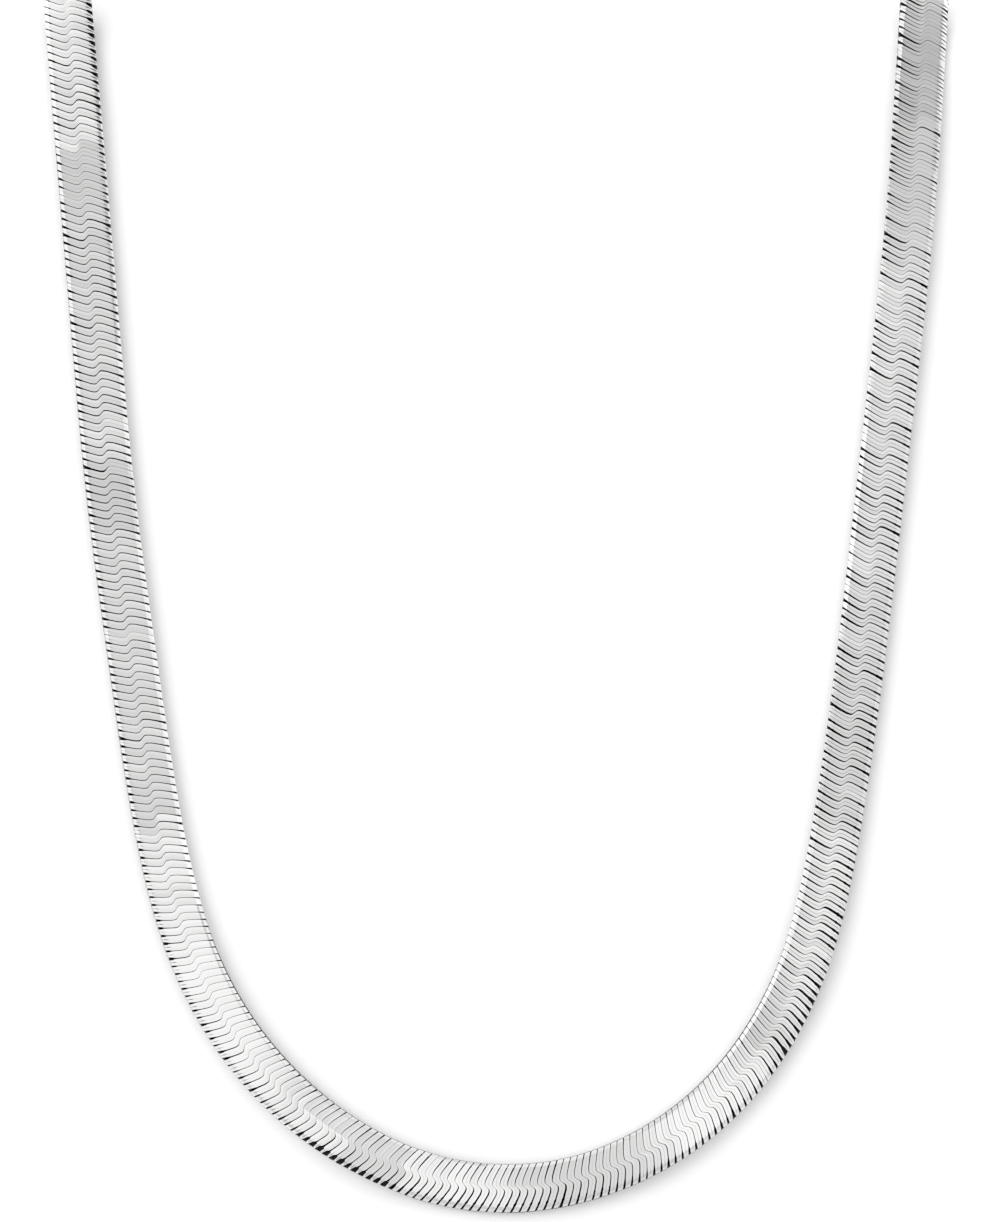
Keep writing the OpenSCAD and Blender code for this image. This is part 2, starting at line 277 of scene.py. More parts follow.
@dataclass
class Shell:
    """A surface being put together from grids.

    Attributes:
        vertices: the points so far, as arrays of x, y and z.
        faces: the faces so far, as lists of vertex numbers.
    """

    vertices: list[Array] = field(default_factory=list)
    faces: list[list[int]] = field(default_factory=list)

    def _start(self) -> int:
        """Return the number that the next vertex gets."""
        return sum(len(block) for block in self.vertices)

    def add_grid(self, grid: Array, wrap_rows: bool = False, wrap_columns: bool = False) -> None:
        """Add a grid surface.

        Args:
            grid: the vertices as rows, columns and x, y, z.
            wrap_rows: whether the last row joins the first.
            wrap_columns: whether each row is a closed ring.
        """
        start = self._start()
        self.vertices.append(grid.reshape(-1, 3))
        self.faces += (grid_faces(*grid.shape[:2], wrap_rows, wrap_columns) + start).tolist()

    def add_closed(self, grid: Array) -> None:
        """Add a grid surface that is closed both ways."""
        self.add_grid(grid, wrap_rows=True, wrap_columns=True)

    def add_loft(self, rings: Array, first_pole: Array, last_pole: Array) -> None:
        """Add closed rings one after another, with a point that closes each end.

        Args:
            rings: the vertices as rings, points of a ring and x, y, z.
            first_pole: the point that closes the first ring.
            last_pole: the point that closes the last ring.
        """
        start, (count, points) = self._start(), rings.shape[:2]
        self.add_grid(rings, wrap_columns=True)
        self.vertices.append(np.array([first_pole, last_pole]))
        poles, ring, after = start + count * points, np.arange(points), np.roll(np.arange(points), -1)
        last = start + (count - 1) * points
        self.faces += np.stack([np.full(points, poles), start + after, start + ring], -1).tolist()
        self.faces += np.stack([np.full(points, poles + 1), last + ring, last + after], -1).tolist()

    def to_object(self, name: str, place: Matrix, sharp_degrees: float) -> Object:
        """Make the surface an object whose own frame is the row frame.

        Args:
            name: the object's name.
            place: the matrix that carries the shell's points into the row frame.
            sharp_degrees: the bend above which an edge is sharp.

        Returns:
            The new object, linked to the scene.
        """
        mesh = bpy.data.meshes.new(name)
        mesh.from_pydata(np.concatenate(self.vertices).tolist(), [], self.faces)
        mesh.transform(place)
        mesh.update()
        return add_smooth(name, mesh, sharp_degrees)


class Graph:
    """A shader node tree that is built a node at a time."""

    def __init__(self, tree: bpy.types.NodeTree) -> None:
        """Empty the node tree of a material or a world."""
        tree.nodes.clear()
        self.tree = tree

    def node(self, kind: str, inputs: dict | None = None, **settings: object) -> bpy.types.Node:
        """Add a node.

        Args:
            kind: the node's type.
            inputs: a value or an output socket for each input, by the input's name or number.
            settings: the node's own properties.

        Returns:
            The new node.
        """
        node = self.tree.nodes.new(kind)
        for key, value in settings.items():
            setattr(node, key, value)
        for key, value in (inputs or {}).items():
            if isinstance(value, Socket):
                self.tree.links.new(value, node.inputs[key])
            else:
                node.inputs[key].default_value = value
        return node

    def math(self, operation: str, *values: object) -> Socket:
        """Add a Math node for numbers or output sockets, and return its result."""
        return self.node("ShaderNodeMath", dict(enumerate(values)), operation=operation).outputs[0]

    def plus(self, first: object, second: object) -> Socket:
        """Add two numbers or output sockets."""
        return self.math("ADD", first, second)

    def times(self, first: object, second: object) -> Socket:
        """Multiply two numbers or output sockets."""
        return self.math("MULTIPLY", first, second)

    def remap(self, value: Socket, from_: tuple, to: tuple) -> Socket:
        """Map a value from one lowest and highest to another, and keep it within those limits."""
        inputs = {0: value, 1: from_[0], 2: from_[1], 3: to[0], 4: to[1]}
        return self.node("ShaderNodeMapRange", inputs, clamp=True).outputs[0]

    def between(self, value: Socket, none: float, full: float) -> Socket:
        """Return how far a value has gone from none to full, from 0 to 1."""
        return self.remap(value, (none, full), (0.0, 1.0))

    def mix(self, share: object, first: object, second: object) -> Socket:
        """Go from the first colour to the second as the share goes from 0 to 1."""
        return self.node("ShaderNodeMix", {0: share, 6: first, 7: second}, data_type="RGBA").outputs[2]

    def blend(self, share: object, first: object, second: object) -> Socket:
        """Go from the first number to the second as the share goes from 0 to 1."""
        return self.node("ShaderNodeMix", {0: share, 2: first, 3: second}, data_type="FLOAT").outputs[0]

    def noise(self, place: object, scale: float, detail: float, fine: float = 0.5) -> Socket:
        """Add a noise whose fine octaves are as strong as fine says, and return its value."""
        inputs = {"Vector": place, "Scale": scale, "Detail": detail, "Roughness": fine}
        return self.node("ShaderNodeTexNoise", inputs).outputs["Fac"]

    def bump(self, height: object) -> Socket:
        """Return the normal of a surface with a height in metres."""
        return self.node("ShaderNodeBump", {"Height": height, "Strength": 1.0, "Distance": 1.0}).outputs[0]

    def attribute(self, name: str) -> Socket:
        """Return the value of a mesh's attribute."""
        return self.node("ShaderNodeAttribute", attribute_name=name).outputs["Fac"]

    def metal(self, colour: object, roughness: object, **more: object) -> None:
        """Make the material a bare metal.

        Args:
            colour: its colour.
            roughness: its roughness.
            more: other inputs of the shader, by their names.
        """
        inputs = {"Base Color": colour, "Metallic": 1.0, "Roughness": roughness, **more}
        shader = self.node("ShaderNodeBsdfPrincipled", inputs)
        self.node("ShaderNodeOutputMaterial", {"Surface": shader.outputs[0]})


class Finish:
    """A material that each kind of finish paints on an empty graph."""

    def build(self) -> Material:
        """Make the material.

        Returns:
            The material, painted.
        """
        material = bpy.data.materials.new(self.name)
        material.use_nodes = True
        self.paint(Graph(material.node_tree))
        return material


@dataclass(frozen=True)
class ChainSilver(Finish):
    """Polished silver of the links, with painted shade down in the grooves between them, along with their
    tarnish.

    Attributes:
        name: the material's name.
        silver: the metal's colour.
        groove_tarnish_and_shade: the colour down in the grooves, painted shade of the narrow gaps along with
            their tarnish.
        roughness: its lowest and highest roughness.
        crown: how far a link's face falls off to its edges, in metres.
        scratch: the depth of the fine polishing lines, in metres.
        stretch: how fine those lines are across the band and along it.
        line: where the mark along a link's middle is full and where it ends, in links from there.
        uneven: the least and the most of that mark, from link to link.
        sunk: where the painted groove shade starts and where it is full, as parts of a groove's depth.
    """

    name: str = "chain_polished_silver"
    silver: tuple = (0.93, 0.93, 0.925, 1.0)
    groove_tarnish_and_shade: tuple = (0.016, 0.016, 0.017, 1.0)
    roughness: tuple = (0.10, 0.2)
    crown: float = 0.00002
    scratch: float = 0.0000035
    stretch: tuple = (0.7, 3.5, 1.0)
    line: tuple = (0.03, 0.08)
    uneven: tuple = (0.6, 1.2)
    sunk: tuple = (0.03, 0.25)

    def paint(self, g: Graph) -> None:
        """Paint it from the weave's own coordinates: across in millimetres, along in links.

        Args:
            g: the material's graph.
        """
        weave = g.node("ShaderNodeUVMap", uv_map="weave").outputs["UV"]
        along = g.node("ShaderNodeSeparateXYZ", {"Vector": weave}).outputs["Y"]
        streaks = g.node("ShaderNodeMapping", {"Vector": weave, "Scale": self.stretch}).outputs[0]
        noise = g.noise(streaks, 2.0, 4.0, 0.6)
        number = g.math("FLOOR", along)
        link = g.node("ShaderNodeTexWhiteNoise", {"W": number}, noise_dimensions="1D").outputs[0]
        polish = g.plus(g.times(noise, 0.7), g.times(link, 0.3))
        off = g.math("SUBTRACT", g.math("FRACT", along), 0.5)
        crown = g.times(g.times(off, off), -self.crown)
        height = g.plus(crown, g.times(noise, self.scratch))
        line = g.remap(g.math("ABSOLUTE", off), self.line, (1.0, 0.0))
        mark = g.times(g.times(line, g.attribute("mark")), g.remap(link, (0.0, 1.0), self.uneven))
        # Down in the grooves the silver turns near black: painted shade of the narrow gaps, along with their
        # tarnish. The marks along the links' middles take the same colour.
        dark = g.math("MAXIMUM", g.between(g.attribute("groove_tarnish_and_shade"), *self.sunk), mark)
        colour = g.mix(dark, self.silver, self.groove_tarnish_and_shade)
        g.metal(colour, g.remap(polish, NOISE_RANGE, self.roughness), Normal=g.bump(height))


@dataclass(frozen=True)
class FittingSilver(Finish):
    """Polished silver of the small fittings, with fine rubbing marks.

    Attributes:
        name: the material's name.
        silver: the metal's colour where it is bright.
        worn: its colour where it has dulled.
        roughness: the lowest and highest roughness of the polish.
        grain: how many marks there are in a metre.
        depth: the marks' depth, in metres.
    """

    name: str = "fitting_polished_silver"
    silver: tuple = (0.92, 0.92, 0.915, 1.0)
    worn: tuple = (0.86, 0.86, 0.855, 1.0)
    roughness: tuple = (0.14, 0.22)
    grain: float = 2500.0
    depth: float = 0.0000006

    def paint(self, g: Graph) -> None:
        """Paint it from object coordinates.

        Args:
            g: the material's graph.
        """
        place = g.node("ShaderNodeTexCoord").outputs["Object"]
        fine, broad = g.noise(place, self.grain, 3.0), g.noise(place, self.grain / 6, 2.0)
        colour = g.mix(g.between(broad, 0.4, 0.75), self.silver, self.worn)
        marks = g.bump(g.times(fine, self.depth))
        g.metal(colour, g.remap(fine, NOISE_RANGE, self.roughness), Normal=marks)


@dataclass(frozen=True)
class PaintedShadeCore(Finish):
    """Painted shade: near-black metal inside the weave, which shows only down between the links.

    Attributes:
        name: the material's name.
        dark: the darkest colour.
        light: the lightest colour.
        roughness: the lowest and highest roughness.
        grain: how many spots there are in a metre.
    """

    name: str = "weave_core_painted_shade"
    dark: tuple = (0.012, 0.012, 0.013, 1.0)
    light: tuple = (0.05, 0.05, 0.052, 1.0)
    roughness: tuple = (0.4, 0.7)
    grain: float = 1800.0

    def paint(self, g: Graph) -> None:
        """Paint it from object coordinates."""
        # The near-black colours are painted shade for the gaps between the links.
        noise = g.noise(g.node("ShaderNodeTexCoord").outputs["Object"], self.grain, 3.0)
        g.metal(g.mix(noise, self.dark, self.light), g.remap(noise, NOISE_RANGE, self.roughness))


@dataclass(frozen=True)
class BoardPaper(Finish):
    """Matt white board behind the chain. It is seen from the front only, and fades out at its top.

    Attributes:
        name: the material's name.
        white: the paper's colour.
        fade: the heights where it starts to fade and where it is gone.
    """

    name: str = "board_paper"
    white: tuple = (0.86, 0.86, 0.86, 1.0)
    fade: tuple = (-0.0475, -0.0436)

    def paint(self, g: Graph) -> None:
        """Paint it by height, and by which side is seen.

        Args:
            g: the material's graph.
        """
        paper = g.node("ShaderNodeBsdfDiffuse", {"Color": self.white}).outputs[0]
        clear = g.node("ShaderNodeBsdfTransparent").outputs[0]
        rear = g.node("ShaderNodeNewGeometry").outputs["Backfacing"]
        place = g.node("ShaderNodeSeparateXYZ", {"Vector": g.node("ShaderNodeTexCoord").outputs["Object"]})
        gone = g.math("MAXIMUM", rear, g.between(place.outputs["Z"], *self.fade))
        mix = g.node("ShaderNodeMixShader", {0: gone, 1: paper, 2: clear})
        g.node("ShaderNodeOutputMaterial", {"Surface": mix.outputs[0]})


@dataclass(frozen=True)
class Sizes:
    """The part's sizes in metres, as the construction has them.

    Attributes:
        band_w: the flat chain's width across its face.
        band_t: its thickness.
        cap_grip: the length of band that an end cap grips.
        cap_wall: an end cap's sheet thickness.
        cap_fit: the clearance between an end cap and the band.
        tag_t: the thickness of the tag that carries an end cap's eye.
        eye_rim: the width of metal left round that eye.
        ring_wire: the wire diameter of both rings.
        ring_gap: the clearance between a ring and what it passes through.
        ring_play: the free length inside the jump ring.
        catch_play: the free length inside the catch ring.
        eye_play: how much larger an end cap's eye is than the ring wire, on its radius.
        clasp_l: the clasp's length from the end of its eye to the end of its hook.
        clasp_w: its width across its hook.
        clasp_t: its body's thickness.
        hook_bar: the bar diameter of the hook.
        clasp_eye_wire: the wire diameter of its small eye.
        clasp_lean: how many degrees its face leans from upright.
    """

    band_w: float = 5.5 * MM
    band_t: float = 1.1 * MM
    cap_grip: float = 3.6 * MM
    cap_wall: float = 0.3 * MM
    cap_fit: float = 0.1 * MM
    tag_t: float = 0.7 * MM
    eye_rim: float = 0.8 * MM
    ring_wire: float = 0.8 * MM
    ring_gap: float = 0.18 * MM
    ring_play: float = 0.8 * MM
    catch_play: float = 1.4 * MM
    eye_play: float = 0.45 * MM
    clasp_l: float = 11.0 * MM
    clasp_w: float = 5.2 * MM
    clasp_t: float = 1.8 * MM
    hook_bar: float = 1.2 * MM
    clasp_eye_wire: float = 0.9 * MM
    clasp_lean: float = 20.0

    @property
    def eye_r(self) -> float:
        """Return the radius of the hole in a cap's tag."""
        return self.ring_wire / 2 + self.eye_play

    @property
    def tag_r(self) -> float:
        """Return the radius of a cap's tag round its hole."""
        return self.eye_r + self.eye_rim

    @property
    def cap_end(self) -> float:
        """Return how far a cap's body goes past the band's end."""
        return self.cap_fit + self.cap_wall

    @property
    def eye_out(self) -> float:
        """Return how far past the band's end a cap's eye is."""
        return self.cap_end + self.eye_rim + self.eye_r

    @property
    def ring_in(self) -> float:
        """Return the inner radius of the jump ring."""
        return (self.eye_rim + self.clasp_eye_wire + self.ring_play) / 2 + self.ring_gap

    @property
    def catch_in(self) -> float:
        """Return the inner radius of the catch ring."""
        return (self.eye_rim + self.hook_bar + self.catch_play) / 2 + self.ring_gap

    @property
    def clasp_out(self) -> Array:
        """Return the way the clasp's outer face looks."""
        return facing(np.array(180.0), np.array(self.clasp_lean))

    @property
    def clasp_centre(self) -> Array:
        """Return the middle of the clasp."""
        return self.clasp_out * self.clasp_t / 2

    def bar_reach(self, inner: float, bar: float) -> float:
        """Return how far a ring's middle is from the bar it hangs on."""
        return inner - self.ring_gap - bar / 2

    def tag_reach(self, inner: float) -> float:
        """Return how far a ring's middle is from the middle of the eye it goes through."""
        return math.sqrt((inner - self.ring_gap) ** 2 - (self.tag_t / 2) ** 2) + self.eye_r


class Route:
    """The closed middle line of the chain, as a uniform cubic B-spline with face directions.

    With f the part of t past a whole number, the weights of four neighbouring control points are
    (1-f)^3, 3f^3-6f^2+4, -3f^3+3f^2+3f+1 and f^3, each over 6.
    """

    def __init__(self, rows: list, sizes: Sizes) -> None:
        """Keep the control points.

        Args:
            rows: x, y, z in millimetres, yaw and lean in degrees for each point.
            sizes: the part's sizes.
        """
        table = np.array(rows, dtype=float)
        self.places = table[:, :3] * MM
        self.looks = facing(table[:, 3], table[:, 4])
        self.count = len(table)
        self.sizes = sizes

    def _blend(self, points: Array, t: Array, weights: list[Array]) -> Array:
        """Sum four neighbouring control points by their weights."""
        i = np.floor(t).astype(int)
        return sum(w[..., None] * points[(i + k - 1) % self.count] for k, w in enumerate(weights))

    def spline(self, points: Array, t: Array) -> Array:
        """Work out the spline of a list of control points.

        Args:
            points: one control point for each row of the route.
            t: the places along the route, in rows.

        Returns:
            The point at each t.
        """
        f = t - np.floor(t)
        weights = [(1 - f) ** 3, 3 * f**3 - 6 * f**2 + 4, -3 * f**3 + 3 * f**2 + 3 * f + 1, f**3]
        return self._blend(points, t, [w / 6 for w in weights])

    def slope(self, t: Array) -> Array:
        """Work out the middle line's change for each row of t, by the weights' own slopes.

        Args:
            t: the places along the route, in rows.

        Returns:
            The slope at each t.
        """
        f = t - np.floor(t)
        weights = [-((1 - f) ** 2), 3 * f**2 - 4 * f, -3 * f**2 + 2 * f + 1, f**2]
        return self._blend(self.places, t, [w / 2 for w in weights])

    def frame(self, t: Array) -> tuple[Array, Array, Array, Array]:
        """Work out the band's frame.

        Args:
            t: the places along the route, in rows.

        Returns:
            The middle line's points, its directions, the outward normals, and the directions
            across the band to its outer edge.
        """
        t = np.asarray(t, dtype=float)
        along = unit(self.slope(t))
        look = self.spline(self.looks, t)
        face = unit(look - dot(look, along) * along)
        return self.spline(self.places, t), along, face, np.cross(along, face)

    def cap_frame(self, t: float, way: Way) -> tuple[Array, Array, Array]:
        """Work out where a cap sits, with its grip along the chord of the band inside it.

        Args:
            t: where the band ends, in rows.
            way: the direction towards the clasp.

        Returns:
            The band's end, the cap's direction and the way its face looks.
        """
        stretch = way.value * self.sizes.cap_grip / float(np.linalg.norm(self.slope(np.array(t))))
        end, grip = self.frame(t)[0], self.frame(t - stretch)[0]
        return end, unit(end - grip), self.frame(t - stretch / 2)[2]

    def cap_eye(self, t: float, way: Way) -> Array:
        """Return the middle of the eye of the cap at t."""
        end, direction, _ = self.cap_frame(t, way)
        return end + direction * self.sizes.eye_out

    def band_end(self, bar: Array, span: float, way: Way, near: float, far: float) -> float:
        """Find where the band ends, by halving 30 times.

        Args:
            bar: the middle of the bar that the ring between it and the cap hangs on.
            span: the distance from that bar to the middle of the cap's eye.
            way: the direction towards the clasp.
            near: a place in rows that is too near the bar.
            far: a place in rows that is too far from it.

        Returns:
            The band's end in rows.
        """
        for _ in range(30):
            middle = (near + far) / 2
            if np.linalg.norm(self.cap_eye(middle, way) - bar) < span:
                near = middle
            else:
                far = middle
        return (near + far) / 2


def place_along(place: Array, direction: Array, look: Array) -> Matrix:
    """Make the matrix that puts local x along a direction and local y as near as can be to a look.

    Args:
        place: where the local origin goes.
        direction: where local x goes.
        look: where local y should look.

    Returns:
        The matrix from the local frame to the row frame.
    """
    x = unit(direction)
    y = unit(look - dot(look, x) * x)
    matrix = Matrix(np.stack([x, y, np.cross(x, y)], axis=1).tolist()).to_4x4()
    matrix.translation = Vector(place.tolist())
    return matrix


@dataclass
class Band:
    """The woven band: rows of links on both faces over a core whose near black is painted shade.

    Attributes:
        route: the middle line.
        start: where the band starts, in rows.
        end: where it ends, in rows.
        pitch: the distance from link to link where the band is straight.
        outer_hold: how far out the links keep their pitch where the band bends, as a part of its half.
        groove_depth: how deep the grooves between the links are.
        groove_limits: the least and the most half width of a groove, in links.
        foot: how far a link's foot is from the middle of the groove, in links.
        first_link: where the first link begins, in links.
        tables_at: where along a link the tables are read, in links.
        jitter: how unevenly the links lean, in degrees.
        samples: how many places the route is measured at.
        core_cover: how far the core is under the floors of the grooves.
        core_rings: how many rings of points the core has.
        core_margin: how far the core keeps off the band's ends, in links.
    """

    route: Route
    start: float
    end: float
    pitch: float = 0.903 * MM
    outer_hold: float = 0.72
    groove_depth: float = 0.14 * MM
    groove_limits: tuple = (0.015, 0.43)
    foot: float = 0.012
    first_link: float = 0.12
    tables_at: float = 0.8
    jitter: float = 0.5
    samples: int = 12000
    core_cover: float = 0.1 * MM
    core_rings: int = 900
    core_margin: float = 0.15

    def __post_init__(self) -> None:
        """Measure the band and share its links out along it."""
        sizes = self.route.sizes
        self.half_w, self.half_t = sizes.band_w / 2, sizes.band_t / 2
        self.t = np.linspace(self.start, self.end, self.samples)
        points, along, _, across = self.route.frame(self.t)
        step = np.linalg.norm(np.diff(points, axis=0), axis=1)
        length = np.concatenate([[0.0], np.cumsum(step)])
        bend = -np.sum(np.gradient(along, axis=0) * across, axis=1) / np.gradient(length)
        density = (1 + self.outer_hold * bend * self.half_w) / self.pitch
        links = np.concatenate([[0.0], np.cumsum((density[1:] + density[:-1]) / 2 * step)])
        self.count = round(float(links[-1]))
        self.links = links * self.count / links[-1]
        self.length = float(length[-1])

    def seating(self, t: Array, column: int) -> Array:
        """Return a column of SEATING at each t, in radians."""
        return np.radians(look_up(SEATING, t, column))

    def grooves(self, t: Array, rng: np.random.Generator) -> Array:
        """Vary the width of the grooves along the band, from link to link and from lobe to lobe.

        Now and then a lobe's groove is nearly closed or wide open.

        Args:
            t: where each groove is, in rows of the route.
            rng: the source of the variation.

        Returns:
            A factor for each groove and each row of BAR_ROWS.
        """
        *parts, uneven = [look_up(GROOVES, t, k)[:, None] for k in range(1, 7)]
        link_spread, link_limits = 0.22, (-0.5, 0.6)
        lobe_spread, lobe_limits = 0.25, (-0.7, 0.6)
        open_, open_share, closed, closed_share = 1.5, 0.2, 0.25, 0.25
        base = 1 + uneven * np.clip(rng.normal(0.0, link_spread, (len(t), 1)), *link_limits)
        lobes = 1 + uneven * np.clip(rng.normal(0.0, lobe_spread, (len(t), 2)), *lobe_limits)
        chance = rng.random((len(t), 2))
        lobes = np.where(chance > 1 - open_share * uneven, open_, lobes)
        lobes = np.where(chance < closed_share * uneven**2, closed, lobes)
        x = np.array(BAR_ROWS)[:, 0]
        share = outer_share(x)
        stops = [-BEVEL, -0.76, -0.3, 0.0, 0.3, 0.76, BEVEL]
        place = np.array([np.interp(x, stops, weight) for weight in np.eye(5)[[4, 3, 3, 2, 1, 1, 0]].T])
        along = np.concatenate(parts, axis=1) @ place
        return base * (share * lobes[:, :1] + (1 - share) * lobes[:, 1:]) * along

    def section(self, x: Array, height: Array) -> tuple[Array, Array]:
        """Work out a link's section, whose first and last points are down in the grooves.

        Args:
            x: how far across each row is.
            height: how high it is.

        Returns:
            How far across the middle line and how far above it each row's four points are.
        """
        sunk = np.array([1.0, 0.0, 0.0, 1.0]) * self.groove_depth
        across = [-1, -BEVEL_MIDDLE, -BEVEL, BEVEL, BEVEL_MIDDLE, 1]
        inward = np.interp(x, across, [1, 0.5, 0.0, 0.0, -0.5, -1])
        down = np.where(np.abs(x) >= 1, np.where(height > 0.3, 0.5, 0.0), 1.0)
        out_x = x[:, None] * self.half_w + inward[:, None] * sunk
        return out_x, height[:, None] * self.half_t - down[:, None] * sunk

    def rise(
        self, x: Array, v: Array, run: Array, frame: tuple, side: Side, rng: np.random.Generator
    ) -> Array:
        """Work out how far each point rises by the way its link sits.

        A lobe leans as one stiff piece, so a point sinks by the lean times how far up it is from the
        link's middle, its run included. It also sinks by the roll times how far it is to +X, and on the
        inner bevel by its fall times how far it is past the bevel's start.

        Args:
            x: how far across each row is.
            v: where each point is along its link.
            run: each link's run at each row.
            frame: the directions along and across the band at each point.
            side: the face.
            rng: the source of the unevenness.

        Returns:
            The rise of each point out of the band.
        """
        links, outer = np.arange(len(v)), outer_share(x)[:, None]
        along, across = frame
        across_off = x[:, None] * self.half_w
        jitter = np.radians(rng.normal(0.0, self.jitter, (len(links), 2)))
        lobe_run = [run[:, np.abs(x - middle).argmin()] for middle in (LOBE_MIDDLE, -LOBE_MIDDLE)]
        lobe_t = [np.interp(links + 0.5 + r, self.links, self.t) for r in lobe_run]
        lobes = [(self.seating(lobe_t[k], 1 + k) + jitter[:, k])[:, None, None] for k in (0, 1)]
        lean = outer * lobes[0] + (1 - outer) * lobes[1]
        middle_run = run[:, np.abs(x - BEND_MIDDLE).argmin(), None, None]
        along_off = (v - 0.5 + run[:, :, None] - middle_run) * self.pitch
        rise = -lean * side.value * (along[..., 2] * along_off + across[..., 2] * across_off)
        link_t = lobe_t[0][:, None, None]
        roll = np.radians(look_up(ROLL, link_t, 1))
        rise = rise - roll * side.value * across[..., 0] * across_off
        fall = self.seating(link_t, 3) * (x < 0)[:, None]
        return rise - fall * np.clip(np.abs(x) - BEVEL, 0, 1)[:, None] * self.half_w

    def marks(self, x: Array, t: Array) -> Array:
        """Work out how dark the mark along the middle of each link is, by edge and by lobe.

        Args:
            x: how far across each row is.
            t: where each point is, in rows of the route.

        Returns:
            The mark's darkness at each point.
        """
        outer_edge, outer_lobe, inner_lobe, inner_edge = (look_up(MARKS, t, k) for k in range(1, 5))
        outer = outer_share(x)[:, None]
        near = np.interp(np.abs(x), [0.7, BEVEL, BEVEL_MIDDLE], [0.0, 1.0, 0.35])[:, None]
        lobe = (outer_lobe * outer + inner_lobe * (1 - outer)) * (np.abs(x) < 0.8)[:, None]
        return np.where(x[:, None] > 0, outer_edge, inner_edge) * near + lobe * (1 - near)

    def link_grid(self, side: Side, rng: np.random.Generator) -> tuple[Array, Array, Array]:
        """Lay out every link of one face.

        A link's edge at x across is k + run(x) links along the band, where the run is the outer lobe's
        run, less the step back, plus the inner lobe's run, each times its share at x. The link fills
        the room between two grooves: v from k + groove to k + 1 - groove, sloping down to the floor.

        Args:
            side: the face.
            rng: the source of the small variations.

        Returns:
            The vertices as links, rows, four points of the section and x, y, z, the weave's coordinates
            of the same points as links, rows, four and two, and how dark their middle marks are.
        """
        rows = np.array(BAR_ROWS)
        x, height, shares, half_groove = rows[:, 0], rows[:, 1], rows[:, 2:5], rows[:, 5]
        if side is Side.BACK:
            shares = shares[::-1]
        signs = np.array([1, -1, 1])
        longest = ((np.array(RUNS)[:, 1:] * signs) @ shares.T).max()
        links = np.arange(0, self.count - math.ceil(longest) - 1)
        edges = np.interp(np.arange(len(links) + 1) + self.tables_at, self.links, self.t)
        run = (np.stack([look_up(RUNS, edges, k) for k in (1, 2, 3)], axis=-1) * signs) @ shares.T
        runs = np.stack([run[:-1], run[:-1], run[1:], run[1:]], axis=-1)
        widths = np.clip(half_groove * self.grooves(edges, rng), *self.groove_limits)
        low = np.full_like(widths, self.foot)
        v = np.stack([low[:-1], widths[:-1], 1 - widths[1:], 1 - low[1:]], axis=-1)
        coordinate = links[:, None, None] + v + runs + self.first_link
        t = np.interp(coordinate, self.links, self.t)
        points, along, face, across = self.route.frame(t)
        out_x, out_n = self.section(x, height)
        rise = self.rise(x, v, run[:-1], (along, across), side, rng)
        vertices = points + across * np.broadcast_to(out_x, t.shape)[..., None]
        vertices = vertices + face * (side.value * (out_n + rise))[..., None]
        to_edge = (1 - x)[:, None] * self.half_w / MM
        weave = np.stack([np.broadcast_to(to_edge, t.shape), links[:, None, None] + v], axis=-1)
        return vertices, weave, self.marks(x, t)

    def make_links(self, name: str, side: Side, rng: np.random.Generator) -> Object:
        """Build one face's links.

        Args:
            name: the object's name.
            side: the face.
            rng: the source of the small variations.

        Returns:
            The new object.
        """
        grid, weave, mark = self.link_grid(side, rng)
        count, rows = grid.shape[:2]
        ends = np.array([[3, 2, 1, 0], np.arange(4) + (rows - 1) * 4])
        bar = np.concatenate([grid_faces(rows, 4, wrap_columns=True), ends])
        if side is Side.BACK:
            bar = bar[:, ::-1]
        faces = (np.arange(count)[:, None, None] * rows * 4 + bar).reshape(-1, 4)
        mesh = bpy.data.meshes.new(name)
        mesh.from_pydata(grid.reshape(-1, 3).tolist(), [], faces.tolist())
        mesh.update()
        uv = mesh.uv_layers.new(name="weave")
        uv.data.foreach_set("uv", weave.reshape(-1, 2)[faces.reshape(-1)].astype(np.float32).ravel())
        # How far down in its groove each point is: where the painted shade and tarnish of the grooves goes.
        sunk = np.tile([1.0, 0.0, 0.0, 1.0], count * rows)
        for attribute, values in (("groove_tarnish_and_shade", sunk), ("mark", mark.ravel())):
            layer = mesh.attributes.new(attribute, "FLOAT", "POINT")
            layer.data.foreach_set("value", values.astype(np.float32))
        return add_smooth(name, mesh, sharp_degrees=20)

    def make_core(self, name: str) -> Object:
        """Build the core, whose near black is painted shade, as the band's section, drawn in and swept along
        the route.

        Args:
            name: the object's name.

        Returns:
            The new object.
        """
        inset = self.groove_depth + self.core_cover
        quarter = np.array([[0.78, 1], [1, 0.3]])
        half = np.concatenate([quarter, quarter[::-1] * [1, -1]])
        section = np.concatenate([half, -half]) * [self.half_w - inset, self.half_t - inset]
        along_links = np.linspace(self.core_margin, self.count - self.core_margin, self.core_rings)
        points, _, face, across = self.route.frame(np.interp(along_links, self.links, self.t))
        rings = points[:, None] + across[:, None] * section[:, :1] + face[:, None] * section[:, 1:]
        shell = Shell()
        shell.add_loft(rings, points[0], points[-1])
        return shell.to_object(name, Matrix.Identity(4), sharp_degrees=40)


def circle(angles: Array) -> Array:
    """Return the points of a unit circle at the angles."""
    return np.stack([np.cos(angles), np.sin(angles)], -1)


def full_turn(points: int) -> Array:
    """Return the angles of evenly spaced points once round a circle."""
    return np.linspace(0, 2 * math.pi, points, endpoint=False)


def quarter_turn(points: int) -> Array:
    """Return the angles of points from 0 to a right angle."""
    return np.linspace(0, math.pi / 2, points)


